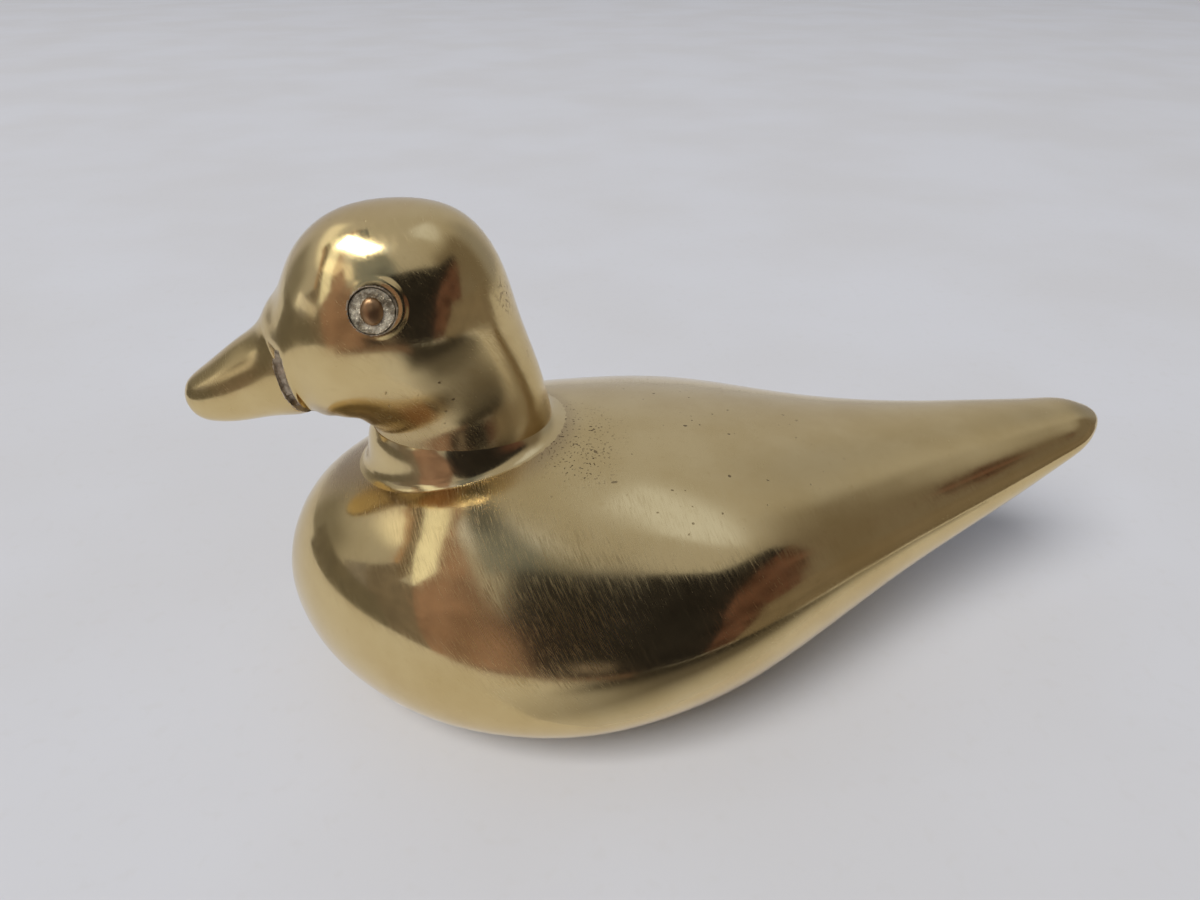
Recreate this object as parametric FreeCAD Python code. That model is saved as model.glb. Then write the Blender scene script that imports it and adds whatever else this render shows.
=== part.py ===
import FreeCAD, Part
import math
import os

# A small cast brass duck that stands on the ground rim under its belly.
# Millimetres. X runs from the beak (minus) to the tail (plus), Y across, Z up.
# The origin is on the table, under the middle of the overall length.

os.makedirs("parts", exist_ok=True)

Vec = FreeCAD.Vector

# Driving sizes of the body casting
overall_length = 110.0
body_length = 102.3
body_width = 56.9
back_height = 33.1
body_wall = 3.0
foot_rim_width = 4.0
tail_core_gap = 10.5

# Driving sizes of the head casting, whose throat is set from the breast and the back
neck_set_back = 11.9
neck_sink = 0.7
head_length = 29.1
head_height = 26.4
head_width = 21.0
beak_length = 13.8
beak_height = 12.2
beak_width = 11.6
beak_groove_width = 0.8
beak_groove_depth = 0.7
beak_groove_set_back = 0.7
spigot_length = 12.4
spigot_width = 11.6
spigot_depth = 6.5
spigot_clearance = 0.1

# Driving sizes of the filler ring round the neck
braze_width = 2.0

# Driving sizes of each eye, on an axis square to the cheek. Shares: forward of the
# nape over head_length, above the throat over head_height, half of head_width.
eye_forward_share = 0.584
eye_up_share = 0.712
eye_out_share = 0.948
eye_rise_degrees = 18.0
eye_turn_degrees = -2.0
socket_diameter = 4.5
socket_depth = 0.9
rim_width = 0.6
rim_height = 0.3
washer_thickness = 0.55
washer_clearance = 0.1
pupil_diameter = 2.2
pupil_rise = 0.8
pupil_shank_diameter = 1.2
pupil_shank_length = 2.6

# One overrun serves all cuts
overrun = 5.0

ring_points = 20

# Body sections from the breast to the tail. Shares: place along the body, then top,
# underside and widest height as shares of back_height, then half width as a share
# of half of body_width.
body_shares = [
    (0.004, 0.539, 0.323, 0.436, 0.126),
    (0.021, 0.667, 0.201, 0.447, 0.287),
    (0.056, 0.790, 0.079, 0.454, 0.485),
    (0.113, 0.886, -0.012, 0.434, 0.689),
    (0.185, 0.968, -0.042, 0.393, 0.854),
    (0.263, 1.006, -0.040, 0.375, 0.951),
    (0.347, 1.003, -0.032, 0.405, 0.999),
    (0.420, 0.984, -0.018, 0.481, 0.997),
    (0.500, 0.953, 0.030, 0.558, 0.936),
    (0.580, 0.922, 0.142, 0.591, 0.806),
    (0.660, 0.900, 0.266, 0.613, 0.646),
    (0.740, 0.892, 0.383, 0.652, 0.501),
    (0.820, 0.897, 0.496, 0.705, 0.379),
    (0.890, 0.907, 0.605, 0.761, 0.280),
    (0.940, 0.914, 0.694, 0.806, 0.211),
    (0.970, 0.916, 0.756, 0.836, 0.162),
    (0.985, 0.905, 0.800, 0.853, 0.113),
    (0.995, 0.892, 0.837, 0.864, 0.063),
    (1.000, 0.875, 0.855, 0.865, 0.015),
]
widest_share = 0.42

# Head sections, fanned about the throat from the neck's foot over the crown to the
# base of the beak. Shares: throat end (back to front of head_length, height of
# head_height), outer end (the same two), half width of half of head_width.
head_shares = [
    (0.715, -0.223, -0.045, -0.167, 0.860),
    (0.711, 0.000, 0.000, 0.076, 0.850),
    (0.704, 0.062, 0.038, 0.261, 0.815),
    (0.729, 0.092, 0.107, 0.515, 0.850),
    (0.759, 0.117, 0.172, 0.761, 0.945),
    (0.794, 0.120, 0.292, 0.936, 1.000),
    (0.828, 0.128, 0.540, 1.000, 1.000),
    (0.863, 0.132, 0.780, 0.939, 0.900),
    (0.900, 0.137, 0.935, 0.754, 0.730),
    (0.911, 0.147, 0.986, 0.621, 0.620),
    (0.921, 0.186, 1.000, 0.591, 0.520),
]
throat_share = 0.711

# Beak sections from inside the head to the tip. Shares: lower end (forward of the
# root over beak_length, height over beak_height), upper end (the same two), half
# width of half of beak_width.
beak_shares = [
    (-0.116, 0.066, 0.029, 0.984, 0.980),
    (0.014, -0.025, 0.159, 0.951, 1.000),
    (0.261, -0.057, 0.319, 0.820, 0.870),
    (0.507, -0.090, 0.543, 0.648, 0.740),
    (0.746, -0.098, 0.783, 0.451, 0.586),
    (0.920, -0.033, 0.949, 0.303, 0.345),
    (0.986, 0.090, 0.989, 0.213, 0.130),
    (1.000, 0.131, 1.000, 0.180, 0.050),
]

# The filler ring's sections from its thin upper edge down past the body's skin.
# Shares: front end and back end as for the head, half width of half of head_width,
# flare of braze_width.
braze_shares = [
    (0.706, 0.090, 0.004, 0.076, 0.822, 0.08),
    (0.708, 0.040, 0.002, 0.058, 0.832, 0.22),
    (0.710, -0.020, 0.000, 0.036, 0.842, 0.50),
    (0.711, -0.080, -0.006, 0.008, 0.850, 0.85),
    (0.712, -0.140, -0.016, -0.024, 0.853, 1.30),
    (0.714, -0.210, -0.034, -0.070, 0.858, 1.90),
]

# Places worked out from the sizes
tail_x = overall_length / 2
breast_x = tail_x - body_length
throat_x = breast_x + neck_set_back
throat_z = back_height - neck_sink
nape_x = throat_x + throat_share * head_length


def head_point(forward, up):
    """A point of the head's side outline, from its shares."""
    return Vec(nape_x - forward * head_length, 0, throat_z + up * head_height)


def ring(lower, upper, widest, half_width):
    """A closed smooth section between two ends in the XZ plane."""
    along = (upper - lower).normalize()
    lower_half = (widest - lower).Length
    upper_half = (upper - widest).Length
    points = []
    for step in range(ring_points):
        turn = 2 * math.pi * step / ring_points
        reach = upper_half if math.cos(turn) > 0 else lower_half
        side = Vec(0, half_width * math.sin(turn), 0)
        points.append(widest + along * (reach * math.cos(turn)) + side)
    curve = Part.BSplineCurve()
    curve.interpolate(Points=points, PeriodicFlag=True, Parameters=list(range(ring_points + 1)))
    return curve


def even_ring(lower, upper, half_width):
    """A section whose widest place is midway."""
    return ring(lower, upper, (lower + upper) / 2, half_width)


def disc_of(curve):
    """The flat face inside one section."""
    return Part.Face(Part.Wire(curve.toShape()))


def skin(curves):
    """A solid with one smooth skin over its sections and a flat face at each end."""
    surface = Part.BSplineSurface()
    surface.buildFromNSections(curves)
    shell = Part.makeShell([surface.toShape(), disc_of(curves[0]), disc_of(curves[-1])])
    shell.sewShape()
    solid = Part.Solid(shell)
    if solid.Volume < 0:
        solid.reverse()
    return solid


def body_ring(row, inset):
    """One section of the body, drawn in by the inset for the hollow."""
    place, top, under, widest, half = row
    nose = max(0, 1 - place / widest_share)
    x = breast_x + place * body_length + inset * nose
    under_z = under * back_height
    if inset > 0:
        under_z = max(0, under_z) + inset
    lower = Vec(x, 0, under_z)
    upper = Vec(x, 0, top * back_height - inset)
    middle = Vec(x, 0, widest * back_height)
    return ring(lower, upper, middle, half * body_width / 2 - inset)


def body_outer():
    """The whole outer form, with its underside still round."""
    return skin([body_ring(row, 0) for row in body_shares])


def body_core():
    """The hollow, which starts behind the breast and stops where the tail gets thin."""
    last_x = tail_x - tail_core_gap
    rows = [row for row in body_shares[1:] if breast_x + row[0] * body_length < last_x]
    return skin([body_ring(row, body_wall) for row in rows])


def below_table():
    """The space under the table, which grinds the belly flat."""
    block = Part.makeBox(overall_length + 2 * overrun, body_width + 2 * overrun, back_height)
    block.translate(Vec(-overall_length / 2 - overrun, -body_width / 2 - overrun, -back_height))
    return block


def foot_outline(outer):
    """The edge of the ground rim, where the outer form meets the table."""
    face = Part.makePlane(
        overall_length + 2 * overrun,
        body_width + 2 * overrun,
        Vec(-overall_length / 2 - overrun, -body_width / 2 - overrun, 0),
    )
    return outer.common(face).Faces[0]


def mouth_cut(outer):
    """The opening through the belly, set in from the ground rim's edge."""
    rim = foot_outline(outer).BoundBox
    half_long = rim.XLength / 2 - foot_rim_width
    half_wide = rim.YLength / 2 - foot_rim_width
    centre = Vec(rim.Center.x, 0, -overrun)
    oval = Part.Ellipse(centre + Vec(half_long, 0, 0), centre + Vec(0, half_wide, 0), centre)
    face = Part.Face(Part.Wire(oval.toShape()))
    return face.extrude(Vec(0, 0, overrun + 2 * body_wall))


def neck_middle():
    """The middle of the neck where it meets the body."""
    back = head_point(head_shares[1][0], head_shares[1][1])
    front = head_point(head_shares[1][2], head_shares[1][3])
    return (front + back) / 2


def oval_post(extra, low_z, high_z):
    """An upright oval post on the neck's middle."""
    middle = neck_middle()
    centre = Vec(middle.x, 0, low_z)
    half_long = spigot_length / 2 + extra
    half_wide = spigot_width / 2 + extra
    oval = Part.Ellipse(centre + Vec(half_long, 0, 0), centre + Vec(0, half_wide, 0), centre)
    face = Part.Face(Part.Wire(oval.toShape()))
    return face.extrude(Vec(0, 0, high_z - low_z))


def make_body(outer):
    """The body casting: hollow, open below, with a hole for the neck's spigot."""
    body = outer.cut(below_table())
    body = body.cut(body_core())
    body = body.cut(mouth_cut(outer))
    hole = oval_post(spigot_clearance, back_height / 2, back_height + overrun)
    return body.cut(hole)


def head_rings():
    """The fanned sections of neck and head."""
    rings = []
    for back, low, front, high, half in head_shares:
        lower = head_point(back, low)
        upper = head_point(front, high)
        rings.append(even_ring(lower, upper, half * head_width / 2))
    return rings


def beak_point(forward, up):
    """A point of the beak's side outline, from its shares."""
    root_row = head_shares[-2]
    root = head_point(root_row[0], root_row[1])
    return root + Vec(-forward * beak_length, 0, up * beak_height)


def make_beak():
    """The beak, from inside the head to its rounded tip."""
    rings = []
    for low_on, low, high_on, high, half in beak_shares:
        lower = beak_point(low_on, low)
        upper = beak_point(high_on, high)
        rings.append(even_ring(lower, upper, half * beak_width / 2))
    return skin(rings)


def groove_cut():
    """The chased line under and beside the beak's root, which fades at the top."""
    set_back = Vec(beak_groove_set_back, 0, 0)
    lower = beak_point(beak_shares[1][0], beak_shares[1][1]) + set_back
    upper = beak_point(beak_shares[1][2], beak_shares[1][3]) + set_back
    along = (upper - lower).normalize()
    normal = Vec(-along.z, 0, along.x)
    outer = even_ring(lower - along * overrun, upper + along * overrun, beak_width / 2 + overrun)
    core_low = lower + along * beak_groove_depth
    core_high = upper + along * beak_groove_depth
    core = even_ring(core_low, core_high, beak_width / 2 - beak_groove_depth / 2)
    face = disc_of(outer).cut(disc_of(core))
    return face.extrude(normal * beak_groove_width)


def eye_normal(side):
    """The direction that an eye looks in."""
    rise = math.radians(eye_rise_degrees)
    turn = math.radians(eye_turn_degrees)
    flat = math.cos(rise)
    return Vec(flat * math.sin(turn), side * flat * math.cos(turn), math.sin(rise))


def eye_centre(side):
    """The place on the cheek's skin where an eye is centred."""
    level = head_point(eye_forward_share, eye_up_share)
    return level + Vec(0, side * eye_out_share * head_width / 2, 0)


def socket_cut(side):
    """The round recess of one eye and the bore for its rivet."""
    out = eye_normal(side)
    floor = eye_centre(side) - out * socket_depth
    recess = Part.makeCylinder(socket_diameter / 2, socket_depth + overrun, floor, out)
    bore_start = floor + out * washer_thickness
    depth = washer_thickness + pupil_shank_length
    bore = Part.makeCylinder(pupil_shank_diameter / 2, depth, bore_start, out * -1)
    return recess.fuse(bore)


def rim_ring(side):
    """The sloping lip round one eye, standing on the cheek."""
    out = eye_normal(side)
    low = eye_centre(side) - out * socket_depth
    wide = socket_diameter / 2 + rim_width
    narrow = socket_diameter / 2 + rim_width / 2
    return Part.makeCone(wide, narrow, socket_depth + rim_height, low, out)


def make_head(outer):
    """The head casting: neck, head and beak, seated on the body, with its spigot."""
    head = skin(head_rings()).fuse(make_beak())
    head = head.cut(groove_cut())
    head = head.cut(outer)
    head = max(head.Solids, key=lambda solid: solid.Volume)
    low_z = neck_middle().z - spigot_depth
    high_z = neck_middle().z + spigot_clearance + body_wall
    head = head.fuse(oval_post(0, low_z, high_z))
    for side in (-1, 1):
        head = head.fuse(rim_ring(side)).cut(socket_cut(side))
    return head.removeSplitter()


def make_braze(outer, head):
    """The concave ring of filler between the neck and the body."""
    rings = []
    for front, low, back, high, half, flare in braze_shares:
        lower = head_point(front, low)
        upper = head_point(back, high)
        along = (upper - lower).normalize()
        grow = flare * braze_width
        half_width = half * head_width / 2 + grow
        rings.append(even_ring(lower - along * grow, upper + along * grow, half_width))
    return skin(rings).cut(outer).cut(head)


def make_washer(side):
    """The rough grey disc on the floor of one socket."""
    out = eye_normal(side)
    floor = eye_centre(side) - out * socket_depth
    radius = socket_diameter / 2 - washer_clearance
    disc = Part.makeCylinder(radius, washer_thickness, floor, out)
    bore = Part.makeCylinder(pupil_shank_diameter / 2, washer_thickness, floor, out)
    return disc.cut(bore)


def make_pupil(side):
    """The domed rivet that holds one disc."""
    out = eye_normal(side)
    floor = eye_centre(side) - out * (socket_depth - washer_thickness)
    radius = pupil_diameter / 2
    ball = (radius * radius + pupil_rise * pupil_rise) / (2 * pupil_rise)
    dome = Part.makeSphere(ball, floor + out * (pupil_rise - ball))
    keep = Part.makeCylinder(radius + overrun, pupil_rise + overrun, floor, out)
    shank = Part.makeCylinder(pupil_shank_diameter / 2, washer_thickness + pupil_shank_length, floor, out * -1)
    return dome.common(keep).fuse(shank).removeSplitter()


def save(shape, node):
    """Write one piece as its own solid and print its size."""
    solids = shape.Solids
    keep = solids[0] if len(solids) == 1 else Part.makeCompound(solids)
    keep.exportStep("parts/" + node + ".step")
    box = keep.optimalBoundingBox(False)
    print(node, "solids", len(solids), "valid", keep.isValid(), "volume", round(keep.Volume, 1))
    print("  x", round(box.XMin, 2), round(box.XMax, 2), "y", round(box.YMin, 2), round(box.YMax, 2),
          "z", round(box.ZMin, 2), round(box.ZMax, 2))


def main():
    outer = body_outer()
    body = make_body(outer)
    head = make_head(outer)
    braze = make_braze(outer, head)
    save(body, "body_casting")
    save(head, "head_casting")
    save(braze, "neck_braze")
    for name, side in (("left", -1), ("right", 1)):
        save(make_washer(side), name + "_eye_washer")
        save(make_pupil(side), name + "_pupil_rivet")


main()
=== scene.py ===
import math

import bmesh
import bpy
import numpy as np
from mathutils import Matrix, Vector, noise
from mathutils.bvhtree import BVHTree


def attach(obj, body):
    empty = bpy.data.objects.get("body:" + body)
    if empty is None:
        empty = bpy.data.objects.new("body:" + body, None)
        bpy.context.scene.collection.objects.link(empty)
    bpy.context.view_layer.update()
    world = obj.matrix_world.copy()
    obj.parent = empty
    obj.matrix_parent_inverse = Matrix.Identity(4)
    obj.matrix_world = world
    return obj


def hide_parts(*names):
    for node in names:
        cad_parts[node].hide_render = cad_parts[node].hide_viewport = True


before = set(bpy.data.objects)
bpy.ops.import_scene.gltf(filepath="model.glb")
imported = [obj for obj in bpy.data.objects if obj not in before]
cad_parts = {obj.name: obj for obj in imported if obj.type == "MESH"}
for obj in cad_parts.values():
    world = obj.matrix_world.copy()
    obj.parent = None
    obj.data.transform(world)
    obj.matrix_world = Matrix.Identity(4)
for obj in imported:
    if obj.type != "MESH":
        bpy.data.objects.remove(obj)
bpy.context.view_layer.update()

# Everything below is in millimetres until a mesh is made.
MM = 0.001

# Driving sizes, the same as the solids have
OVERALL_LENGTH = 110.0
BODY_LENGTH = 102.3
BODY_WIDTH = 56.9
BACK_HEIGHT = 33.1
BODY_WALL = 3.0
FOOT_RIM_WIDTH = 4.0
TAIL_CORE_GAP = 10.5
NECK_SET_BACK = 11.9
NECK_SINK = 0.7
HEAD_LENGTH = 29.1
HEAD_HEIGHT = 26.4
HEAD_WIDTH = 21.0
BEAK_LENGTH = 13.8
BEAK_HEIGHT = 12.2
BEAK_WIDTH = 11.6
GROOVE_SET_BACK = 0.7
SPIGOT_LENGTH = 12.4
SPIGOT_WIDTH = 11.6
SPIGOT_DEPTH = 6.5
THROAT_SHARE = 0.711
WIDEST_SHARE = 0.42

TAIL_X = OVERALL_LENGTH / 2
BREAST_X = TAIL_X - BODY_LENGTH
THROAT_X = BREAST_X + NECK_SET_BACK
THROAT_Z = BACK_HEIGHT - NECK_SINK
NAPE_X = THROAT_X + THROAT_SHARE * HEAD_LENGTH

# Place along the body, top, underside and widest height of BACK_HEIGHT, half width
BODY_SHARES = [
    (0.000, 0.436, 0.436, 0.436, 0.000),
    (0.004, 0.539, 0.323, 0.436, 0.126),
    (0.021, 0.667, 0.201, 0.447, 0.287),
    (0.056, 0.790, 0.079, 0.454, 0.485),
    (0.113, 0.886, -0.012, 0.434, 0.689),
    (0.185, 0.968, -0.042, 0.393, 0.854),
    (0.263, 1.006, -0.040, 0.375, 0.951),
    (0.347, 1.003, -0.032, 0.405, 0.999),
    (0.420, 0.984, -0.018, 0.481, 0.997),
    (0.500, 0.953, 0.030, 0.558, 0.936),
    (0.580, 0.922, 0.142, 0.591, 0.806),
    (0.660, 0.900, 0.266, 0.613, 0.646),
    (0.740, 0.892, 0.383, 0.652, 0.501),
    (0.820, 0.897, 0.496, 0.705, 0.379),
    (0.890, 0.907, 0.605, 0.761, 0.280),
    (0.940, 0.914, 0.694, 0.806, 0.211),
    (0.970, 0.916, 0.756, 0.836, 0.162),
    (0.985, 0.905, 0.800, 0.853, 0.113),
    (0.995, 0.892, 0.837, 0.864, 0.063),
    (1.000, 0.867, 0.863, 0.865, 0.000),
]
# Throat end (back to front, height), outer end (the same), half width
HEAD_SHARES = [
    (0.715, -0.223, -0.045, -0.167, 0.860),
    (0.711, 0.000, 0.000, 0.076, 0.850),
    (0.704, 0.062, 0.038, 0.261, 0.800),
    (0.729, 0.092, 0.107, 0.515, 0.865),
    (0.759, 0.117, 0.172, 0.761, 0.960),
    (0.794, 0.120, 0.292, 0.936, 1.000),
    (0.828, 0.128, 0.540, 1.000, 1.000),
    (0.863, 0.132, 0.780, 0.939, 0.900),
    (0.900, 0.137, 0.935, 0.754, 0.730),
    (0.911, 0.147, 0.986, 0.621, 0.620),
    (0.921, 0.186, 1.000, 0.591, 0.520),
    (0.927, 0.240, 0.992, 0.540, 0.400),
    (0.932, 0.300, 0.972, 0.480, 0.220),
]
BEAK_ROOT_ROW = 9
BEAK_SHARES = [
    (-0.116, 0.066, 0.029, 0.984, 0.980),
    (0.014, -0.025, 0.159, 0.951, 1.000),
    (0.261, -0.057, 0.319, 0.820, 0.870),
    (0.507, -0.090, 0.543, 0.648, 0.740),
    (0.746, -0.098, 0.783, 0.451, 0.586),
    (0.920, -0.033, 0.949, 0.303, 0.345),
    (0.986, 0.090, 0.989, 0.213, 0.130),
    (1.000, 0.155, 1.000, 0.157, 0.000),
]

# Eye, on an axis square to the cheek
EYE_FORWARD_SHARE = 0.584
EYE_UP_SHARE = 0.712
EYE_OUT_SHARE = 0.948
EYE_RISE = math.radians(18.0)
EYE_TURN = math.radians(-2.0)
SOCKET_RADIUS = 2.3
SOCKET_DEPTH = 0.9
RIM_RADIUS = 2.62
RIM_HALF_WIDTH = 0.55
RIM_HEIGHT = 0.17
WASHER_THICKNESS = 0.5
PUPIL_RADIUS = 1.12
PUPIL_RISE = 0.78
# How far the punched recess sits off the middle of its lip
SOCKET_SHIFT = (-0.50, 0, -0.32)

WASHER_CLEARANCE = 0.06
SPIGOT_CLEARANCE = 0.1

# The soft hollow between brow and beak, and how its small lumps are evened out
BROW_REACH = 4.0
EVEN_ROUNDS = 180
EVEN_IN = 0.6
EVEN_BACK = -0.55

# The chased line: its cutter's half section as height out of the skin and half width, how
# far it bows forward beside the beak, and how far it leaves the metal at its upper end
GROOVE_SECTION = [
    (-0.42, 0.0), (-0.40, 0.2), (-0.30, 0.38), (-0.10, 0.50), (0.15, 0.62), (0.45, 0.82),
    (3.0, 1.3),
]
GROOVE_BOW = 1.2
GROOVE_FADE = 3.4
# How near to a rough cutter's wall a face counts as cut by it
ROUGH_REACH = 0.07


def spline(ts, rows, t):
    """Natural cubic spline through the rows."""
    n = len(ts)
    h = np.diff(ts)
    a = np.zeros((n, n))
    b = np.zeros((n, rows.shape[1]))
    a[0, 0] = a[-1, -1] = 1
    for i in range(1, n - 1):
        a[i, i - 1], a[i, i], a[i, i + 1] = h[i - 1], 2 * (h[i - 1] + h[i]), h[i]
        b[i] = 6 * ((rows[i + 1] - rows[i]) / h[i] - (rows[i] - rows[i - 1]) / h[i - 1])
    m = np.linalg.solve(a, b)
    k = np.clip(np.searchsorted(ts, t) - 1, 0, n - 2)
    d = (t - ts[k])[:, None]
    e = (ts[k + 1] - t)[:, None]
    hk = h[k][:, None]
    curve = (m[k] * e**3 + m[k + 1] * d**3) / (6 * hk)
    return curve + (rows[k] / hk - m[k] * hk / 6) * e + (rows[k + 1] / hk - m[k + 1] * hk / 6) * d


def head_point(forward, up):
    return np.array([NAPE_X - forward * HEAD_LENGTH, 0, THROAT_Z + up * HEAD_HEIGHT])


def beak_point(forward, up):
    root = head_point(*HEAD_SHARES[BEAK_ROOT_ROW][:2])
    return root + np.array([-forward * BEAK_LENGTH, 0, up * BEAK_HEIGHT])


def body_rows(inset=0.0):
    """Lower x z, widest x z, upper x z and half width of each body section."""
    rows = []
    for place, top, under, widest, half in BODY_SHARES:
        nose = max(0, 1 - place / WIDEST_SHARE)
        x = BREAST_X + place * BODY_LENGTH + inset * nose
        low = under * BACK_HEIGHT
        if inset:
            low = max(0, low) + inset
        wide = half * BODY_WIDTH / 2 - inset
        rows.append([x, low, x, widest * BACK_HEIGHT, x, top * BACK_HEIGHT - inset, wide])
    return np.array(rows)


def fan_rows(shares, point, width):
    """The same columns for sections that are fanned about the throat."""
    rows = []
    for low_on, low, high_on, high, half in shares:
        a, b = point(low_on, low), point(high_on, high)
        mid = (a + b) / 2
        rows.append([a[0], a[2], mid[0], mid[2], b[0], b[2], half * width / 2])
    return np.array(rows)


def along(rows):
    """A distance along the sections, to space them by."""
    d = np.abs(np.diff(rows, axis=0))
    step = np.maximum(np.hypot(d[:, 0], d[:, 1]), np.hypot(d[:, 4], d[:, 5]))
    return np.concatenate([[0], np.cumsum(np.maximum(step, d[:, 6]))])


def mirrored(rows):
    """The sections as they go on past a pole."""
    m = rows[:, [4, 5, 2, 3, 0, 1, 6]].copy()
    m[:, 6] *= -1
    return m


def surface(rows, stations, turns, start_pole=False, end_pole=False):
    """Points of the smooth skin over the sections, station by station."""
    ts = along(rows)
    t = ts[0] + stations * (ts[-1] - ts[0])
    if start_pole:
        rows = np.concatenate([mirrored(rows[1:4])[::-1], rows])
        ts = np.concatenate([-ts[1:4][::-1], ts])
    if end_pole:
        last = ts[-1]
        rows = np.concatenate([rows, mirrored(rows[-4:-1])[::-1]])
        ts = np.concatenate([ts, 2 * last - ts[-4:-1][::-1]])
    r = spline(ts, rows, t)
    zero = np.zeros(len(t))
    lo = np.stack([r[:, 0], zero, r[:, 1]], 1)
    mid = np.stack([r[:, 2], zero, r[:, 3]], 1)
    up = np.stack([r[:, 4], zero, r[:, 5]], 1)
    c, s = np.cos(turns), np.sin(turns)
    out = mid[:, None] + np.maximum(c, 0)[None, :, None] * (up - mid)[:, None]
    out = out + np.maximum(-c, 0)[None, :, None] * (lo - mid)[:, None]
    out[:, :, 1] += r[:, 6][:, None] * s[None]
    return out


def object_from(verts, faces, name):
    """A mesh object from points in millimetres, its faces turned outwards."""
    mesh = bpy.data.meshes.new(name)
    mesh.from_pydata([tuple(v) for v in np.asarray(verts) * MM], [], faces)
    bm = bmesh.new()
    bm.from_mesh(mesh)
    bmesh.ops.remove_doubles(bm, verts=bm.verts, dist=1e-7)
    bmesh.ops.recalc_face_normals(bm, faces=bm.faces)
    bm.to_mesh(mesh)
    bm.free()
    obj = bpy.data.objects.new(name, mesh)
    bpy.context.scene.collection.objects.link(obj)
    return obj


def tube_faces(rings, count, closed=False):
    """Faces between rings of points, which may close into a loop."""
    faces = []
    for i in range(rings if closed else rings - 1):
        a, b = i * count, (i + 1) % rings * count
        for j in range(count):
            k = (j + 1) % count
            faces.append((a + j, a + k, b + k, b + j))
    return faces


def skin_object(points, name):
    """A closed mesh over a grid of section points, with its two ends filled."""
    rings, count = points.shape[:2]
    verts = points.reshape(-1, 3)
    faces = tube_faces(rings, count)
    ends = []
    for i in (0, rings - 1):
        if np.ptp(points[i], axis=0).max() > 1e-6:
            ends.append(tuple(range(i * count, (i + 1) * count)))
    return object_from(verts, faces + ends, name)


def combine(target, tool, operation):
    """Cut, join or keep by another mesh, which is used up."""
    change = target.modifiers.new("change", "BOOLEAN")
    change.operation = operation
    change.solver = "EXACT"
    change.object = tool
    graph = bpy.context.evaluated_depsgraph_get()
    made = bpy.data.meshes.new_from_object(target.evaluated_get(graph))
    target.modifiers.clear()
    target.data = made
    bpy.data.objects.remove(tool)


def lathe(profile, count, centre, axis, name, wobble=None):
    """A closed turned form from radii and heights, from the axis out and back to it."""
    axis = np.array(axis) / np.linalg.norm(axis)
    side = np.cross(axis, [0, 0, 1.0])
    side /= np.linalg.norm(side)
    other = np.cross(axis, side)
    verts, rings = [], len(profile)
    for r, h in profile:
        for j in range(count):
            a = 2 * math.pi * j / count
            p = centre + axis * h + (side * math.cos(a) + other * math.sin(a)) * r
            if wobble:
                p = p + axis * wobble(p, r, h)
            verts.append(p)
    return object_from(verts, tube_faces(rings, count), name)


def block(low, high, name):
    x0, y0, z0 = low
    x1, y1, z1 = high
    verts = [(x, y, z) for x in (x0, x1) for y in (y0, y1) for z in (z0, z1)]
    faces = [(0, 1, 3, 2), (4, 6, 7, 5), (0, 4, 5, 1), (2, 3, 7, 6), (0, 2, 6, 4), (1, 5, 7, 3)]
    return object_from(verts, faces, name)


def oval_post(cx, half_long, half_wide, low, high, name, count=96):
    """An upright post of oval section."""
    verts = []
    for z in (low, high):
        for j in range(count):
            a = 2 * math.pi * j / count
            verts.append((cx + half_long * math.cos(a), half_wide * math.sin(a), z))
    ends = [tuple(range(count)), tuple(range(count, 2 * count))]
    return object_from(verts, tube_faces(2, count) + ends, name)


def smooth_share(x, low, high):
    """An eased step from none at low to one at high."""
    t = np.clip((x - low) / (high - low), 0, 1)
    return t * t * (3 - 2 * t)


def tree_of(obj):
    """A search tree of a mesh, in metres."""
    bm = bmesh.new()
    bm.from_mesh(obj.data)
    tree = BVHTree.FromBMesh(bm)
    bm.free()
    return tree


def finish_piece(obj, node, sharp_degrees=28):
    """Smooth shading, its body, and the solid that it stands for."""
    mesh = obj.data
    mesh.polygons.foreach_set("use_smooth", [True] * len(mesh.polygons))
    mesh.set_sharp_from_angle(angle=math.radians(sharp_degrees))
    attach(obj, "root")
    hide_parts(node)


# Body

def ring_turns(count):
    return np.arange(count) * 2 * math.pi / count


def end_eased(count):
    """Stations that crowd towards both ends."""
    t = np.linspace(0, 1, count)
    return t - np.sin(2 * math.pi * t) / (2 * math.pi) * 0.75


def make_outer(name, rings=300, count=224):
    """The body's outer skin as a closed mesh."""
    return skin_object(surface(body_rows(), end_eased(rings), ring_turns(count), True, True), name)


def neck_middle():
    a = head_point(*HEAD_SHARES[1][:2])
    b = head_point(*HEAD_SHARES[1][2:4])
    return (a + b) / 2


def make_body():
    """The hollow casting, ground flat below, with its opening and the spigot's hole."""
    body = make_outer("body")
    combine(body, block((-80, -60, -40), (80, 60, 0), "table"), "DIFFERENCE")
    rows = body_rows(BODY_WALL)
    last = TAIL_X - TAIL_CORE_GAP
    rows = np.array([r for r in rows[2:] if r[0] < last])
    core = skin_object(surface(rows, np.linspace(0, 1, 60), ring_turns(72)), "core")
    combine(body, core, "DIFFERENCE")
    low = np.array([v.co[:] for v in body.data.vertices if v.co.z < 1e-6]) / MM
    x0, x1 = low[:, 0].min(), low[:, 0].max()
    half_long = (x1 - x0) / 2 - FOOT_RIM_WIDTH
    half_wide = np.abs(low[:, 1]).max() - FOOT_RIM_WIDTH
    mouth = oval_post((x0 + x1) / 2, half_long, half_wide, -5, 2 * BODY_WALL, "mouth")
    combine(body, mouth, "DIFFERENCE")
    half_long = SPIGOT_LENGTH / 2 + SPIGOT_CLEARANCE
    half_wide = SPIGOT_WIDTH / 2 + SPIGOT_CLEARANCE
    x = neck_middle()[0]
    hole = oval_post(x, half_long, half_wide, BACK_HEIGHT / 2, BACK_HEIGHT + 5, "hole")
    combine(body, hole, "DIFFERENCE")
    return body


# Head

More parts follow.
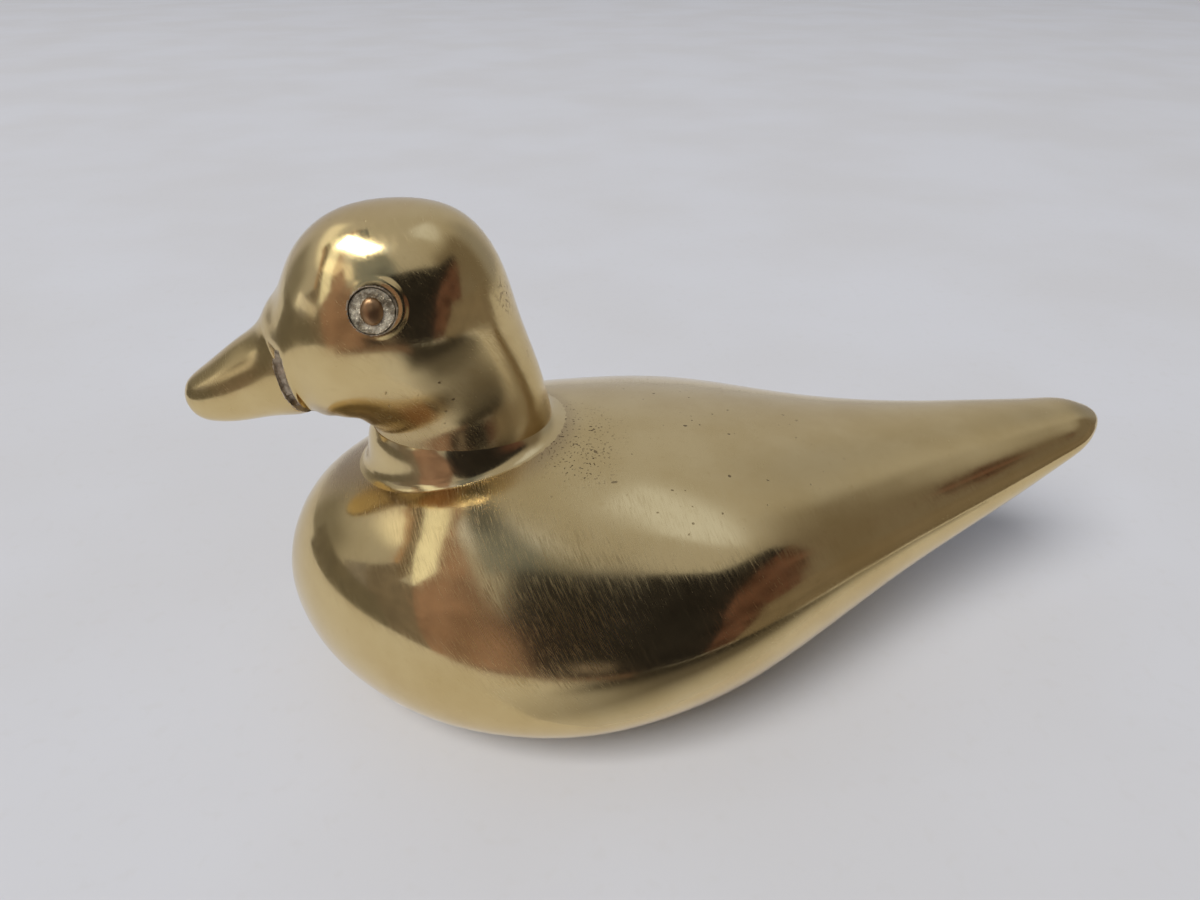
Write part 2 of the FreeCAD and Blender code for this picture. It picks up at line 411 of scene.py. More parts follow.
def eye_out(side):
    """The direction that an eye looks in."""
    flat = math.cos(EYE_RISE)
    ahead, across = flat * math.sin(EYE_TURN), flat * math.cos(EYE_TURN)
    return np.array([ahead, side * across, math.sin(EYE_RISE)])


def eye_centre(side):
    level = head_point(EYE_FORWARD_SHARE, EYE_UP_SHARE)
    return level + np.array([0, side * EYE_OUT_SHARE * HEAD_WIDTH / 2, 0])


def disc_centre(side):
    """The punched recess sits a little before and below the middle of its lip."""
    return eye_centre(side) + np.array(SOCKET_SHIFT)


def crowd(base, low, high, count):
    """Steps with finer ones between two limits."""
    fine = np.linspace(low, high, count)
    keep = base[(base < low - 1e-6) | (base > high + 1e-6)]
    return np.unique(np.concatenate([keep, fine]))


def head_grid():
    """Points of the head's skin, finer round the eyes."""
    rows = fan_rows(HEAD_SHARES, head_point, HEAD_WIDTH)
    stations = crowd(np.linspace(0, 1, 230), 0.40, 0.62, 130)
    turns = ring_turns(200)
    for side in (1, -1):
        middle = math.radians(62) * side % (2 * math.pi)
        turns = crowd(turns, middle - 0.42, middle + 0.42, 100)
    return surface(rows, stations, turns)


def raise_rims(points):
    """Lift the round lip of each eye out of the cheek."""
    for side in (-1, 1):
        out, centre = eye_out(side), eye_centre(side)
        rel = points - centre
        height = rel @ out
        radius = np.linalg.norm(rel - height[..., None] * out, axis=-1)
        x = np.clip(np.abs(radius - RIM_RADIUS) / RIM_HALF_WIDTH, 0, 1)
        lift = RIM_HEIGHT * (0.5 + 0.5 * np.cos(math.pi * x)) ** 0.8
        behind = (rel @ np.array([0.99, 0, -0.05])) / RIM_RADIUS
        lift = lift * (np.abs(height) < 3) * (0.15 + 0.85 * smooth_share(behind, -0.3, 0.7))
        points = points + lift[..., None] * out
    return points


def blend_out(points, normals, other, weight):
    """Swell a skin where another one is near, so that the two meet in a soft hollow."""
    flat = points.reshape(-1, 3)
    lift = np.zeros(len(flat))
    w = weight(flat)
    for i in np.nonzero(w > 0)[0]:
        hit = other.find_nearest(Vector(flat[i]) * MM, BROW_REACH * MM)
        if hit[0] is not None:
            lift[i] = (BROW_REACH - hit[3] / MM) ** 2 / (4 * BROW_REACH)
    return points + ((lift * w)[:, None] * normals.reshape(-1, 3)).reshape(points.shape)


def grid_normals(points):
    """Outward directions at the points of a skin."""
    du = np.gradient(points, axis=0)
    dv = np.roll(points, -1, axis=1) - np.roll(points, 1, axis=1)
    n = np.cross(du, dv)
    n /= np.linalg.norm(n, axis=2, keepdims=True) + 1e-12
    centre = points.mean(axis=1, keepdims=True)
    return n if ((points - centre) * n).sum() > 0 else -n


GROOVE_LOW = beak_point(BEAK_SHARES[1][0], BEAK_SHARES[1][1]) + np.array([GROOVE_SET_BACK, 0, 0])
GROOVE_HIGH = beak_point(BEAK_SHARES[1][2], BEAK_SHARES[1][3]) + np.array([GROOVE_SET_BACK, 0, 0])
GROOVE_LENGTH = float(np.linalg.norm(GROOVE_HIGH - GROOVE_LOW))
GROOVE_ALONG = (GROOVE_HIGH - GROOVE_LOW) / GROOVE_LENGTH
GROOVE_SQUARE = np.array([-GROOVE_ALONG[2], 0, GROOVE_ALONG[0]])


def root_place(flat):
    """How far up the beak's root points are, and how far off its plane."""
    rel = flat - GROOVE_LOW
    return rel @ GROOVE_ALONG / GROOVE_LENGTH, np.abs(rel @ GROOVE_SQUARE)


def brow_weight(flat):
    """One over the brow, none beside and under the beak's root."""
    up, off = root_place(flat)
    return smooth_share(up, 0.60, 1.02) * (1 - smooth_share(off, 5.0, 8.0))


def make_groove():
    """The cutter of the rough line beside and under the beak's root."""
    count = 300
    profile = [(d, -w) for d, w in GROOVE_SECTION[:0:-1]] + GROOVE_SECTION
    middle = (GROOVE_LOW + GROOVE_HIGH) / 2
    verts = []
    for i in range(count):
        turn = 2 * math.pi * i / count
        c, s = math.cos(turn), math.sin(turn)
        centre = middle + GROOVE_ALONG * (GROOVE_LENGTH / 2 * c)
        centre = centre + np.array([-GROOVE_BOW * s * s, BEAK_WIDTH / 2 * s, 0])
        out = GROOVE_ALONG * c / (GROOVE_LENGTH / 2) + np.array([0, s / (BEAK_WIDTH / 2), 0])
        out /= np.linalg.norm(out)
        lift = GROOVE_FADE * float(smooth_share(np.array(c), 0.32, 0.68))
        for d, w in profile:
            q = centre + out * d + GROOVE_SQUARE * w
            rough = noise.noise(Vector(q) * 2.2) * 0.10 + noise.noise(Vector(q) * 5.0) * 0.06
            verts.append(q + out * (lift + (rough if d < 1 else 0)))
    return object_from(verts, tube_faces(count, len(profile), closed=True), "groove")


def socket_tool(side):
    """The cutter of one eye recess, with a flared mouth that leans towards the lip's middle."""
    r, depth = SOCKET_RADIUS, SOCKET_DEPTH
    profile = [(0, -depth), (r - 0.12, -depth), (r - 0.02, -depth + 0.1), (r, -0.25)]
    profile += [(r + 0.05, -0.10), (r + 0.15, 0.03), (r + 0.32, 0.16), (r + 0.60, 0.34)]
    profile += [(r + 0.9, 2.5), (0, 2.5)]
    shift = disc_centre(side) - eye_centre(side)
    tool = lathe(profile, 128, disc_centre(side), eye_out(side), "socket")
    out = eye_out(side)
    for v in tool.data.vertices:
        height = (np.array(v.co) / MM - disc_centre(side)) @ out
        v.co = v.co - Vector(shift) * MM * 0.6 * float(smooth_share(np.array(height), -0.4, 0.3))
    return tool


def tag_rough(obj, trees):
    """The faces that a rough cutter left get the second finish."""
    for face in obj.data.polygons:
        face.material_index = 0
        for tree in trees:
            if tree.find_nearest(face.center, ROUGH_REACH * MM)[0] is not None:
                face.material_index = 1


def even_out(obj, weight):
    """Even out small lumps where the weight is above none, and keep the larger form."""
    mesh = obj.data
    count = len(mesh.vertices)
    co = np.empty(count * 3)
    mesh.vertices.foreach_get("co", co)
    co = co.reshape(-1, 3) / MM
    edges = np.empty(len(mesh.edges) * 2, dtype=int)
    mesh.edges.foreach_get("vertices", edges)
    a, b = edges.reshape(-1, 2).T
    share = np.bincount(a, minlength=count) + np.bincount(b, minlength=count)
    w = weight(co)[:, None]
    for i in range(2 * EVEN_ROUNDS):
        total = np.empty_like(co)
        for axis in range(3):
            total[:, axis] = np.bincount(a, co[b, axis], count) + np.bincount(b, co[a, axis], count)
        co += w * (EVEN_BACK if i % 2 else EVEN_IN) * (total / share[:, None] - co)
    mesh.vertices.foreach_set("co", (co * MM).ravel())
    mesh.update()


def brow_even_weight(flat):
    """One round the hollow of the brow, none further up and beside the beak."""
    up, off = root_place(flat)
    over_root = smooth_share(up, 0.60, 0.88) * (1 - smooth_share(up, 1.5, 2.2))
    return over_root * (1 - smooth_share(off, 3.5, 8.5))


def make_head():
    """The head casting, and search trees of the cutters that leave rough faces."""
    points = raise_rims(head_grid())
    beak_rows = fan_rows(BEAK_SHARES, beak_point, BEAK_WIDTH)
    beak_points = surface(beak_rows, end_eased(150), ring_turns(180), False, True)
    plain_head = skin_object(points, "plain_head")
    plain_beak = skin_object(beak_points, "plain_beak")
    head_tree, beak_tree = tree_of(plain_head), tree_of(plain_beak)
    bpy.data.objects.remove(plain_head)
    bpy.data.objects.remove(plain_beak)
    points = blend_out(points, grid_normals(points), beak_tree, brow_weight)
    beak_points = blend_out(beak_points, grid_normals(beak_points), head_tree, brow_weight)
    head = skin_object(points, "head")
    combine(head, skin_object(beak_points, "beak"), "UNION")
    even_out(head, brow_even_weight)
    rough_trees = []
    for tool in (make_groove(), socket_tool(-1), socket_tool(1)):
        rough_trees.append(tree_of(tool))
        combine(head, tool, "DIFFERENCE")
    combine(head, make_outer("under", 160, 120), "DIFFERENCE")
    x, _, z = neck_middle()
    post = oval_post(x, SPIGOT_LENGTH / 2, SPIGOT_WIDTH / 2, z - SPIGOT_DEPTH, z + BODY_WALL, "post")
    combine(head, post, "UNION")
    return head, rough_trees


# Filler ring at the neck

# Its upper edge on the neck, as a section of the head
CREASE = (0.7045, 0.062, 0.012, 0.068, 0.838)
# How far its foot lies outside that edge, how much it spreads at once, and the pull of both
# ends on the curve between them
BRAZE_REACH = 2.2
BRAZE_SPREAD = 0.75
BRAZE_PULLS = (0.36, 0.34)


def make_braze(body_tree):
    """The ring from the crease down to the body's skin, and back inside the metal."""
    rows = fan_rows([CREASE], head_point, HEAD_WIDTH)[0]
    low, high = np.array([rows[0], 0, rows[1]]), np.array([rows[4], 0, rows[5]])
    middle, count, steps = (low + high) / 2, 220, 18
    axis = (high - low) / 2
    verts = []
    for i in range(count):
        turn = 2 * math.pi * i / count
        c, s = math.cos(turn), math.sin(turn)
        top = middle + axis * c + np.array([0, rows[6] * s, 0])
        out = axis * c / (axis @ axis) + np.array([0, s / rows[6], 0])
        out[2] = 0
        out /= np.linalg.norm(out)
        foot_at = top + out * BRAZE_REACH
        hit = body_tree.ray_cast(Vector((foot_at[0], foot_at[1], 60.0)) * MM, Vector((0, 0, -1)))
        foot = np.array(hit[0]) / MM
        normal = np.array(hit[1])
        slope = out - normal * (out @ normal)
        slope /= np.linalg.norm(slope)
        gap = float(np.linalg.norm(foot - top))
        down = np.array([0, 0, -1.0]) + out * BRAZE_SPREAD
        down /= np.linalg.norm(down)
        p1, p2 = top + down * gap * BRAZE_PULLS[0], foot - slope * gap * BRAZE_PULLS[1]
        line = []
        for k in range(steps):
            u = k / (steps - 1)
            v = 1 - u
            line.append(v**3 * top + 3 * u * v**2 * p1 + 3 * u * u * v * p2 + u**3 * foot)
        line.append(foot + slope * 0.15 - normal * 0.25)
        line.append(foot - normal * 1.0 - out * 0.8)
        line.append(top - out * 1.6 - np.array([0, 0, gap * 0.6]))
        line.append(top - out * 0.9 + np.array([0, 0, -0.12]))
        verts += line
    around = steps + 4
    return object_from(verts, tube_faces(count, around, closed=True), "neck_ring")


# Eyes

def make_washer(side, name):
    """The hammered disc on the floor of one recess."""
    centre = disc_centre(side) - eye_out(side) * SOCKET_DEPTH
    radius, thick = SOCKET_RADIUS - WASHER_CLEARANCE, WASHER_THICKNESS
    profile = [(0, 0), (radius, 0), (radius, thick * 0.5), (radius - 0.02, thick * 0.85)]
    profile += [(r, thick) for r in np.linspace(radius - 0.08, 0, 34)]

    def rough(p, r, h):
        if h < thick * 0.8 or r > radius - 0.03:
            return 0.0
        q = Vector(p) * 2.0
        coarse = noise.noise(q * 1.1) * 0.10
        return coarse + noise.noise(q * 2.9) * 0.055 + noise.noise(q * 7.0) * 0.02 - 0.03

    return lathe(profile, 150, centre, eye_out(side), name, rough)


def make_pupil(side, name):
    """The domed rivet through one disc, a little taller than wide."""
    centre = disc_centre(side) - eye_out(side) * (SOCKET_DEPTH - WASHER_THICKNESS)
    radius, rise = PUPIL_RADIUS, PUPIL_RISE
    profile = [(0, -1.8), (0.6, -1.8), (0.6, -0.25), (radius * 0.97, -0.2)]
    for a in np.linspace(0, math.pi / 2, 22)[:-1]:
        profile.append((radius * math.cos(a) ** 0.8, rise * math.sin(a)))
    profile.append((0.0, rise))

    def uneven(p, r, h):
        return 0.09 * noise.noise(Vector(p) * 1.4) if h > 0.05 else 0.0

    pupil = lathe(profile, 110, centre, eye_out(side), name, uneven)
    up = np.cross(np.cross(eye_out(side), [0, 0, 1.0]), eye_out(side))
    up /= np.linalg.norm(up)
    for v in pupil.data.vertices:
        rel = np.array(v.co) / MM - centre
        v.co = v.co + Vector(up * (rel @ up) * 0.22) * MM
    return pupil


outer_tree_object = make_outer("outer_for_braze", 200, 160)
outer_tree = tree_of(outer_tree_object)
bpy.data.objects.remove(outer_tree_object)

body = make_body()
head, rough_trees = make_head()
braze = make_braze(outer_tree)
finish_piece(body, "body_casting")
finish_piece(head, "head_casting")
finish_piece(braze, "neck_braze")
washers, pupils = [], []
for side_name, side in (("left", -1), ("right", 1)):
    washers.append(make_washer(side, side_name + "_eye_disc"))
    finish_piece(washers[-1], side_name + "_eye_washer", 50)
    pupils.append(make_pupil(side, side_name + "_pupil"))
    finish_piece(pupils[-1], side_name + "_pupil_rivet", 50)


# Materials

class Nodes:
    """Short calls for the nodes of one material or world."""

    def __init__(self, tree):
        self.tree = tree

    def add(self, kind, **values):
        node = self.tree.nodes.new(kind)
        for key, value in values.items():
            setattr(node, key, value)
        return node

    def link(self, a, b):
        self.tree.links.new(a, b)

    def put(self, value, socket):
        if isinstance(value, (int, float, tuple)):
            socket.default_value = value
        else:
            self.link(value, socket)

    def place(self, turn=None, scale=None):
        """Object coordinates, turned and then stretched."""
        vector = self.add("ShaderNodeTexCoord").outputs["Object"]
        for key, values in (("Rotation", turn), ("Scale", scale)):
            if values is not None:
                mapping = self.add("ShaderNodeMapping")
                mapping.inputs[key].default_value = values
                self.link(vector, mapping.inputs["Vector"])
                vector = mapping.outputs["Vector"]
        return vector

    def noise(self, vector, scale, detail=2.0, rough=0.5):
        node = self.add("ShaderNodeTexNoise")
        node.inputs["Scale"].default_value = scale
        node.inputs["Detail"].default_value = detail
        node.inputs["Roughness"].default_value = rough
        self.link(vector, node.inputs["Vector"])
        return node.outputs["Fac"]

    def ramp(self, value, low, high, out_low=0.0, out_high=1.0):
        node = self.add("ShaderNodeMapRange", interpolation_type="SMOOTHSTEP")
        keys = ("From Min", "From Max", "To Min", "To Max")
        for key, number in zip(keys, (low, high, out_low, out_high)):
            node.inputs[key].default_value = number
        self.link(value, node.inputs["Value"])
        return node.outputs["Result"]

    def math(self, operation, a, b=0.0):
        node = self.add("ShaderNodeMath", operation=operation)
        self.put(a, node.inputs[0])
        self.put(b, node.inputs[1])
        return node.outputs["Value"]

    def mix(self, factor, a, b):
        node = self.add("ShaderNodeMix", data_type="RGBA")
        self.put(factor, node.inputs[0])
        self.put(a, node.inputs[6])
        self.put(b, node.inputs[7])
        return node.outputs[2]

    def near(self, centre, low, high):
        """One close to a place of the object, in millimetres, and none away from it."""
        where = self.add("ShaderNodeTexCoord")
        away = self.add("ShaderNodeVectorMath", operation="DISTANCE")
        away.inputs[1].default_value = tuple(c * MM for c in centre)
        self.link(where.outputs["Object"], away.inputs[0])
        return self.ramp(away.outputs["Value"], low * MM, high * MM, 1.0, 0.0)

    def bump(self, height, strength, distance, normal=None):
        node = self.add("ShaderNodeBump")
        node.inputs["Strength"].default_value = strength
        node.inputs["Distance"].default_value = distance * MM
        self.link(height, node.inputs["Height"])
        if normal is not None:
            self.link(normal, node.inputs["Normal"])
        return node.outputs["Normal"]


def new_material(name):
    material = bpy.data.materials.new(name)
    material.use_nodes = True
    return material, Nodes(material.node_tree), material.node_tree.nodes["Principled BSDF"]


def brass(name, tint, rough, haze, waves, pit_places, tarnish=0.25, dull=(), painted_shade=()):
    """Polished brass with fine scratches and waves, local pits and dull spots, and painted shade
    that darkens chosen spots.
    """
    material, n, shader = new_material(name)
    shader.inputs["Metallic"].default_value = 1.0
    cloud = n.noise(n.place(), 90, 4, 0.55)
    fine = n.noise(n.place(), 900, 3, 0.6)
    r, g, b = tint
    colour = n.mix(n.ramp(cloud, 0.35, 0.70), (r, g, b, 1), (r * 0.90, g * 0.87, b * 0.80, 1))
    colour = n.mix(n.ramp(fine, 0.60, 0.80, 0.0, tarnish), colour, (r * 0.7, g * 0.64, b * 0.5, 1))
    streaks = n.noise(n.place((0.15, 0.5, 0.1), (13000, 520, 520)), 1.0, 2, 0.6)
    cross = n.noise(n.place((0.0, 0.95, 0.3), (9500, 560, 560)), 1.0, 2, 0.6)
    patches = n.ramp(n.noise(n.place(), 60, 2, 0.5), 0.38, 0.60)
    crossed = n.math("MULTIPLY", n.ramp(cross, 0.50, 0.75), patches)
    lines = n.math("ADD", n.ramp(streaks, 0.42, 0.72), crossed)
    plain = n.ramp(cloud, 0.3, 0.75, rough * 0.8, rough * 1.35)
    roughness = n.math("ADD", n.math("MULTIPLY", lines, haze), plain)
    for centre, low, high, amount in dull:
        brushed = n.math("ADD", 0.55, n.math("MULTIPLY", lines, 0.6))
        spot = n.math("MULTIPLY", n.near(centre, low, high), brushed)
        roughness = n.math("ADD", roughness, n.math("MULTIPLY", spot, amount))
    # Painted shade: a darker, greyer tint and a little more roughness, fading out from each centre
    for centre, low, high, amount in painted_shade:
        cloudy = n.ramp(cloud, 0.2, 0.6, amount * 0.6, amount)
        spot = n.math("MULTIPLY", n.near(centre, low, high), cloudy)
        colour = n.mix(spot, colour, (r * 0.50, g * 0.47, b * 0.56, 1))
        roughness = n.math("ADD", roughness, n.math("MULTIPLY", spot, 0.15))
    normal = n.bump(n.noise(n.place(), waves[0], 2, 0.5), 1.0, waves[1])
    normal = n.bump(lines, 0.16, 0.0012, normal)
    pits = None
    for centre, low, high, scale, cut in pit_places:
        spots = n.ramp(n.noise(n.place(), scale, 0, 0.5), cut, cut + 0.05)
        spots = n.math("MULTIPLY", spots, n.near(centre, low, high))
        pits = spots if pits is None else n.math("MAXIMUM", pits, spots)
    if pits is not None:
        colour = n.mix(n.math("MULTIPLY", pits, 0.85), colour, (0.16, 0.11, 0.06, 1))
        roughness = n.math("ADD", roughness, n.math("MULTIPLY", pits, 0.4))
        normal = n.bump(n.math("SUBTRACT", 1.0, pits), 0.5, 0.05, normal)
    n.link(colour, shader.inputs["Base Color"])
    n.link(roughness, shader.inputs["Roughness"])
    n.link(normal, shader.inputs["Normal"])
    return material


BRASS = (0.76, 0.59, 0.295)
# Each pitted place: centre, full within, none beyond, the noise's scale and its threshold
BODY_PITS = [
    ((-13, -4, 33.5), 2, 9, 3600, 0.72),
    ((-12, -9, 32), 1, 6, 3900, 0.71),
    ((0, -4, 33), 4, 26, 1500, 0.80),
]
HEAD_PITS = [
    ((-17, -4, 50), 1, 4, 2600, 0.58),
    ((-15, -3, 43), 0.5, 3, 2200, 0.60),
    ((-28, -9, 40), 0.5, 7, 1300, 0.80),
]
# Each dull place, or place of painted shade: centre, full within, none beyond, amount
BODY_DULL = [((-16, -22, 25), 5, 15, 0.13), ((-2, -10, 32), 5, 26, 0.05)]
# Painted shade in the creases round the foot of the neck
BODY_PAINTED_SHADE = [
    ((-37, 0, 31), 4, 9, 0.8),
    ((-23.5, -1, 33), 9.5, 13.0, 0.6),
    ((-34, -8, 30.5), 2, 6, 0.5),
]
# Painted shade under the chin and low on both sides of the jaw
HEAD_PAINTED_SHADE = [((-38, 0, 36.5), 3.5, 8, 0.7)]
for side in (-1, 1):
    HEAD_PAINTED_SHADE.append(((-31, side * 7, 37), 2.5, 8, 0.35))
    HEAD_PAINTED_SHADE.append(((-38.5, side * 5.5, 39.5), 1, 2.5, 0.9))


def rough_brass():
    """The unpolished brass in the chased line and the eye recesses."""
    material, n, shader = new_material("Rough groove brass")
    shader.inputs["Metallic"].default_value = 0.8
    grain = n.noise(n.place(), 1900, 4, 0.6)
    blotch = n.noise(n.place(), 650, 3, 0.6)
    colour = n.mix(n.ramp(blotch, 0.35, 0.65), (0.56, 0.47, 0.35, 1), (0.19, 0.15, 0.105, 1))
    n.link(colour, shader.inputs["Base Color"])
    n.link(n.ramp(grain, 0.3, 0.7, 0.30, 0.55), shader.inputs["Roughness"])
    n.link(n.bump(grain, 0.9, 0.12), shader.inputs["Normal"])
    return material


for piece in (body, head, braze):
    piece.data.materials.clear()
body.data.materials.append(brass(
    "Body brass", BRASS, 0.10, 0.10, (75, 0.10), BODY_PITS, dull=BODY_DULL, painted_shade=BODY_PAINTED_SHADE))
head.data.materials.append(brass(
    "Head brass", BRASS, 0.14, 0.08, (120, 0.05), HEAD_PITS, painted_shade=HEAD_PAINTED_SHADE))
head.data.materials.append(rough_brass())
tag_rough(head, rough_trees)
braze.data.materials.append(brass(
    "Filler brass", (0.77, 0.61, 0.325), 0.13, 0.07, (220, 0.03), [], 0.3))


def grey_metal():
    """The rough disc of an eye."""
    material, n, shader = new_material("Rough grey metal")
    shader.inputs["Metallic"].default_value = 0.7
    grain = n.noise(n.place(), 2600, 4, 0.6)
    blotch = n.noise(n.place(), 800, 3, 0.6)
    colour = n.mix(n.ramp(blotch, 0.38, 0.66), (0.80, 0.73, 0.56, 1), (0.22, 0.18, 0.12, 1))
    n.link(colour, shader.inputs["Base Color"])
    n.link(n.ramp(grain, 0.3, 0.7, 0.2, 0.42), shader.inputs["Roughness"])
    n.link(n.bump(grain, 1.0, 0.20), shader.inputs["Normal"])
    return material


grey = grey_metal()
pupil_brass = brass("Pupil brass", (0.46, 0.29, 0.16), 0.34, 0.05, (900, 0.03), [], 0.6)
for washer in washers:
    washer.data.materials.append(grey)
for pupil in pupils:
    pupil.data.materials.append(pupil_brass)

# Stage: a pale table, a quiet room, soft lamps, and glowing cards round the camera, which paint
# reflections into the metal
CAMERA_PLACE = Vector((-19.63, -91.33, 83.05))
CAMERA_PITCH = math.radians(31.0)
CAMERA_YAW = math.radians(6.72)

camera_data = bpy.data.cameras.new("Camera")
camera_data.sensor_width = 36.0
camera_data.lens = 26.4
camera_data.clip_start = 0.005
camera_data.clip_end = 20.0
camera = bpy.data.objects.new("Camera", camera_data)
camera.location = CAMERA_PLACE * MM
camera.rotation_euler = (math.pi / 2 - CAMERA_PITCH, 0, -CAMERA_YAW)
bpy.context.scene.collection.objects.link(camera)
bpy.context.scene.camera = camera


def sheet(name, corners):
    """A flat stage piece, from corners in millimetres."""
    obj = object_from(corners, [tuple(range(len(corners)))], name)
    return obj


def make_table():
    half = 3000
    corners = [(-half, -half, 0), (half, -half, 0), (half, half, 0), (-half, half, 0)]
    table = sheet("table_top", corners)
    material, n, shader = new_material("Pale table")
    mottle = n.noise(n.place(), 14, 3, 0.5)
    speck = n.noise(n.place(), 420, 2, 0.5)
    colour = n.mix(n.ramp(mottle, 0.3, 0.7), (0.595, 0.600, 0.628, 1), (0.570, 0.568, 0.582, 1))
    colour = n.mix(n.ramp(speck, 0.55, 0.75, 0, 0.10), colour, (0.50, 0.48, 0.45, 1))
    n.link(colour, shader.inputs["Base Color"])
    shader.inputs["Roughness"].default_value = 0.6
    shader.inputs["Specular IOR Level"].default_value = 0.2
    table.data.materials.append(material)


make_table()


def glow_material(name, colour, uneven):
    """An even glow with a soft mottle."""
    material = bpy.data.materials.new(name)
    material.use_nodes = True
    material.node_tree.nodes.clear()
    n = Nodes(material.node_tree)
    glow = n.add("ShaderNodeEmission")
    dark = tuple(c * (1 - uneven) for c in colour)
    cloud = n.ramp(n.noise(n.place(), 35, 3, 0.6), 0.35, 0.65)
    n.link(n.mix(cloud, (*colour, 1), (*dark, 1)), glow.inputs["Color"])
    n.link(glow.outputs[0], n.add("ShaderNodeOutputMaterial").inputs["Surface"])
    return material


def only_in_metal(obj):
    """Keep a stage piece out of the picture, of diffuse light and of the shadows."""
    obj.visible_camera = False
    obj.visible_diffuse = False
    obj.visible_shadow = False


def card(name, colour, uneven, back, corners):
    """A flat glowing card square to the camera, which only shows in the metal as a painted
    reflection.
    """
    c, s = math.cos(CAMERA_PITCH), math.sin(CAMERA_PITCH)
    ahead = Vector((math.sin(CAMERA_YAW) * c, math.cos(CAMERA_YAW) * c, -s))
    right = Vector((math.cos(CAMERA_YAW), -math.sin(CAMERA_YAW), 0))
    up = right.cross(ahead)
    corners = [tuple(CAMERA_PLACE + right * a + up * b - ahead * back) for a, b in corners]
    obj = sheet(name, corners)
    obj.data.materials.append(glow_material(name, colour, uneven))
    only_in_metal(obj)


# Each card, which paints a reflection: name, colour, unevenness, distance behind the camera's
# plane, and corners in that plane, to the right of the camera and above it
CARDS = [
    ("dark_card", (0.022, 0.021, 0.024), 0.3, 0,
     [(-34, -125), (70, -125), (62, -10), (76, 30), (120, 80), (182, 140), (150, 140), (62, 62),
      (20, 50), (-10, 40), (-34, 36), (-38, 0)]),
    ("right_warm_card", (0.150, 0.082, 0.072), 0.6, 1,
     [(66, -125), (260, -125), (215, -40), (192, 40), (196, 110), (184, 148), (118, 84), (76, 32),
      (60, -10)]),
    ("left_warm_card", (0.35, 0.235, 0.21), 0.4, 0,
     [(-126, -125), (-30, -125), (-36, -30), (-54, 20), (-84, 90), (-140, 330), (-172, 330),
      (-108, 130), (-92, 30), (-122, 6)]),
    ("left_dim_card", (0.21, 0.185, 0.175), 0.3, 0,
     [(-250, -125), (-124, -125), (-122, 8), (-150, 16), (-160, 50), (-250, 50)]),
    ("far_left_card", (0.27, 0.26, 0.29), 0.25, 0,
     [(-460, -125), (-250, -125), (-250, 55), (-460, 80)]),
    ("bright_card", (1.0, 1.02, 0.98), 0.1, 0,
     [(-122, 8), (-94, 30), (-102, 110), (-134, 200), (-250, 360), (-300, 350), (-180, 190),
      (-140, 100), (-128, 40)]),
    ("dark_strip", (0.20, 0.165, 0.145), 0.3, 1,
     [(-150, 16), (-126, 30), (-138, 100), (-178, 190), (-298, 350), (-340, 340), (-212, 190),
      (-162, 100), (-158, 16)]),
    ("orange_strip", (0.50, 0.34, 0.25), 0.3, 2,
     [(-160, 16), (-150, 50), (-162, 100), (-210, 190), (-335, 345), (-365, 335), (-232, 190),
      (-178, 100), (-176, 16)]),
    ("grey_card", (0.21, 0.24, 0.28), 0.35, 0,
     [(-38, 34), (-8, 40), (-14, 60), (-34, 96), (-72, 96), (-62, 72), (-46, 24)]),
    ("slate_card", (0.13, 0.15, 0.185), 0.35, 0,
     [(-34, 96), (-40, 110), (-120, 330), (-142, 330), (-72, 96)]),
    ("small_pale_card", (0.30, 0.26, 0.26), 0.2, -1,
     [(-14, -84), (0, -84), (0, -70), (-14, -70)]),
]
for card_row in CARDS:
    card(*card_row)


def low_sheet(name, corners, colour):
    """A glowing dim patch of table, or a low glowing screen beside it, seen only in the metal as a
    painted reflection.
    """
    obj = sheet(name, corners)
    obj.data.materials.append(glow_material(name, colour, 0.25))
    only_in_metal(obj)
    return obj


def fade_sheet(obj, far, near_colour):
    """A sheet that darkens away from the duck, and passes into the table's own colour
    towards it and at both ends."""
    n = Nodes(obj.data.materials[0].node_tree)
    glow = next(node for node in n.tree.nodes if node.type == "EMISSION")
    split = n.add("ShaderNodeSeparateXYZ")
    n.link(n.place(), split.inputs[0])
    share = n.ramp(split.outputs["Y"], -0.060, -0.026)
    close = n.ramp(split.outputs["Y"], -0.080, -0.055)
    left = n.math("MULTIPLY", n.ramp(split.outputs["X"], -0.040, 0.004, 1, 0), close)
    left = n.math("MAXIMUM", left, n.ramp(split.outputs["X"], -0.034, -0.018, 1, 0))
    right = n.ramp(split.outputs["X"], 0.095, 0.135)
    share = n.math("MAXIMUM", share, n.math("MAXIMUM", left, right))
    darkest = tuple(c * 0.3 for c in far)
    ground = n.mix(n.ramp(split.outputs["Y"], -0.100, -0.060), (*darkest, 1), (*far, 1))
    n.link(n.mix(share, ground, (*near_colour, 1)), glow.inputs["Color"])


# The table in the camera's shade and in the light, as the metal sees it
DIM_GROUND = (0.12, 0.112, 0.108)
LIT_GROUND = (0.56, 0.565, 0.60)
front_dim = low_sheet(
    "front_dim_sheet",
    [(-40, -140, 0.3), (140, -140, 0.3), (130, -60, 0.3), (90, -30, 0.3), (-12, -30, 0.3),
     (-40, -50, 0.3)],
    DIM_GROUND)
fade_sheet(front_dim, DIM_GROUND, LIT_GROUND)
low_sheet(
    "front_warm_sheet",
    [(-160, -229, 0.6), (-12, -229, 0.6), (-12, -108, 0.6), (-60, -100, 0.6), (-110, -112, 0.6)],
    (0.20, 0.135, 0.12))
low_sheet(
    "right_screen",
    [(75, -150, 0), (150, -70, 0), (185, 30, 0), (185, 30, 70), (150, -70, 75), (75, -150, 70)],
    (0.22, 0.19, 0.165))
low_sheet(
    "left_screen",
    [(-230, -110, 0), (-230, 90, 0), (-230, 90, 75), (-230, -110, 60)],
    (0.17, 0.16, 0.15))


